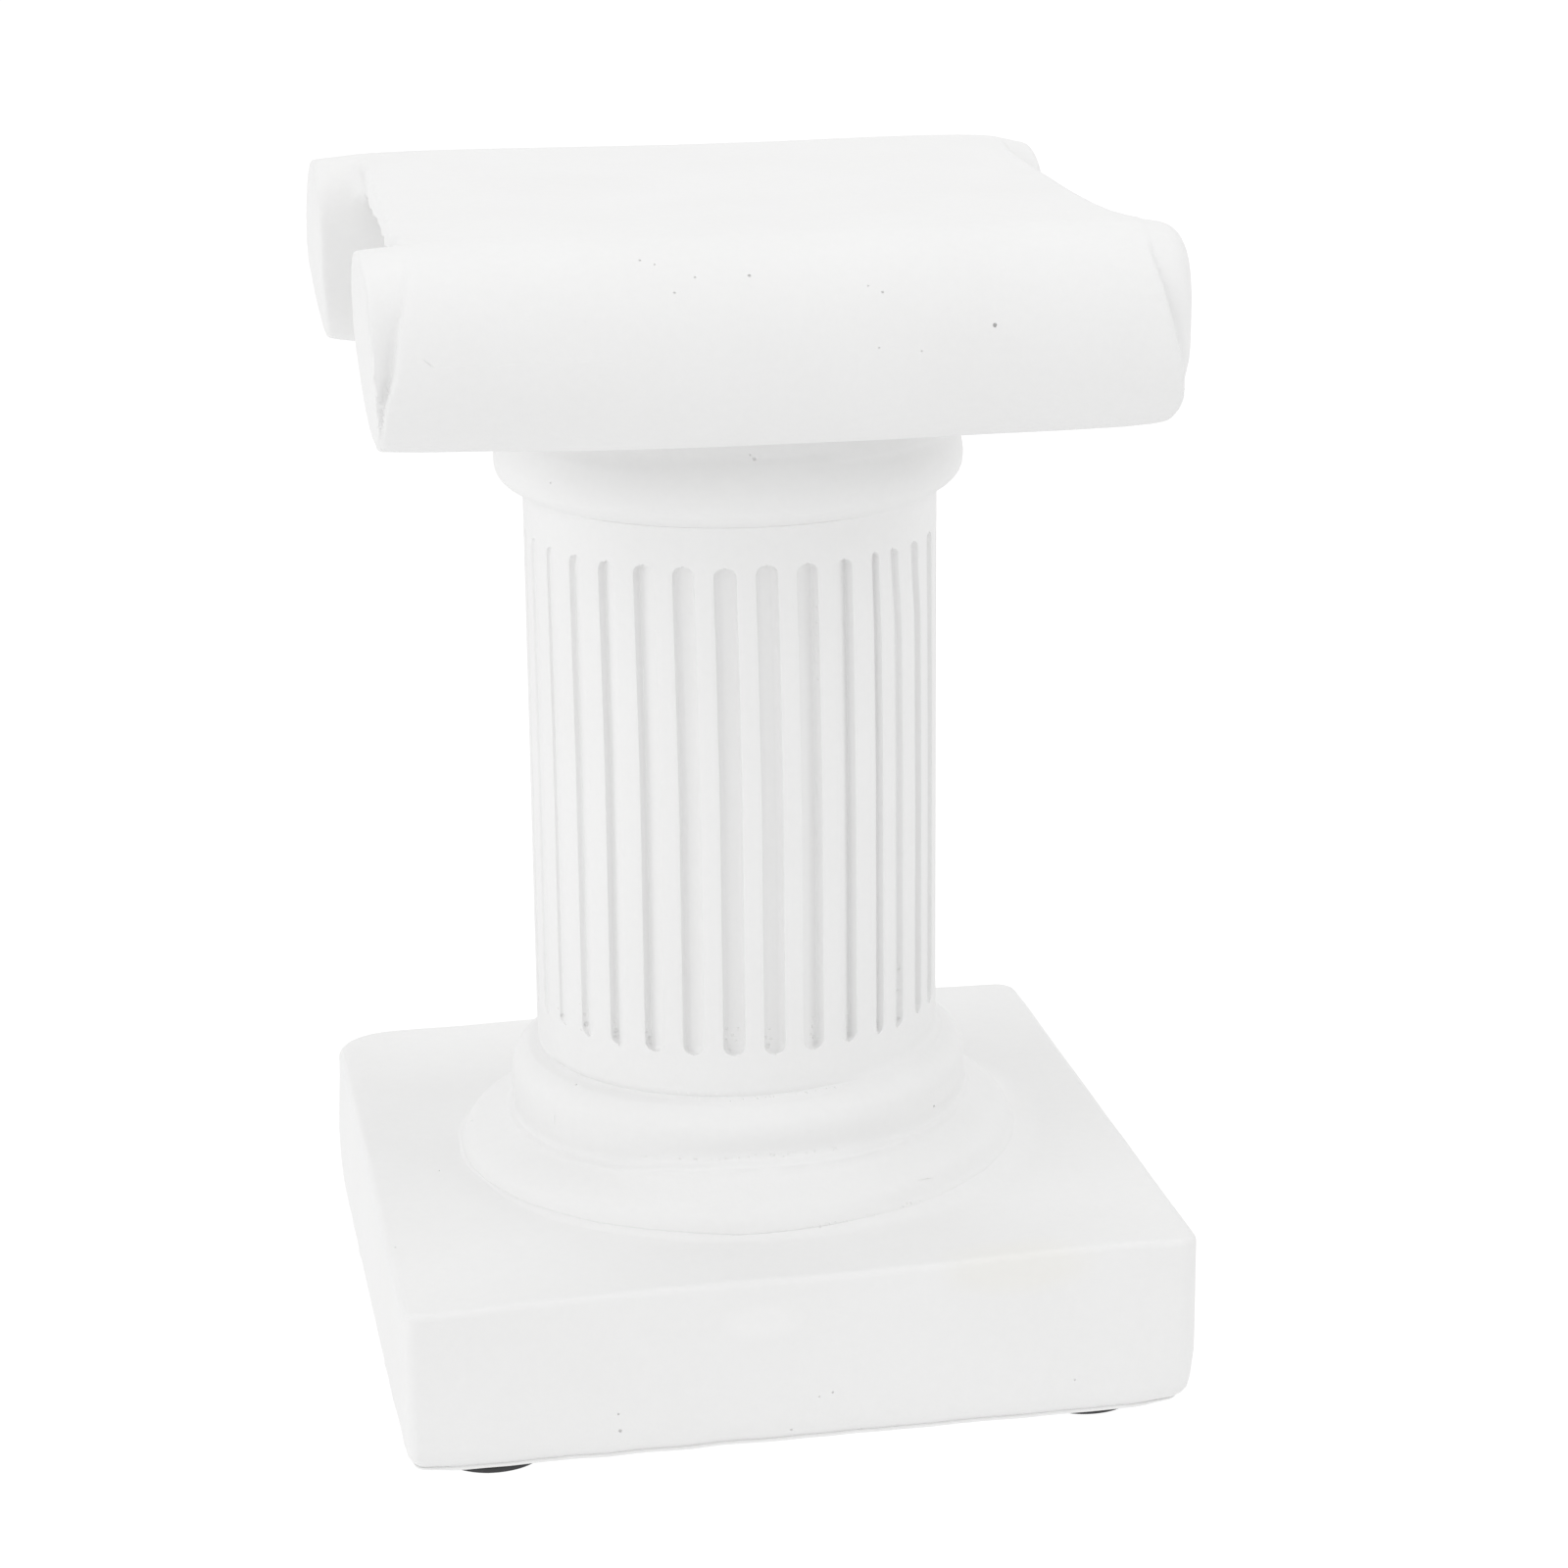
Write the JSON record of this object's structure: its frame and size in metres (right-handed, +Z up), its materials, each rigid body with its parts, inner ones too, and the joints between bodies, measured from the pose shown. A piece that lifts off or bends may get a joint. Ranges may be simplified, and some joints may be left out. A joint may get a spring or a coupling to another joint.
{
  "type": "roman column",
  "caption": "Small cast plaster display column: square plinth, moulded base, fluted round shaft and a scroll capital with a flat square top.",
  "frame": {"origin": "middle of the box around the column, at the underside of its foot pads", "axes": "+Z up along the column, -Y towards the front, X along the scrolls of the capital"},
  "size_m": [0.1014, 0.1006, 0.1504],
  "materials": {
    "plaster": "bare white cast plaster, matt, with small casting pinholes",
    "pad": "thin dark stick-on pad, matt"
  },
  "bodies": {
    "root": {"column": "plaster", "foot_pad_front_left": "pad", "foot_pad_front_right": "pad", "foot_pad_back_left": "pad", "foot_pad_back_right": "pad"}
  },
  "joints": []
}
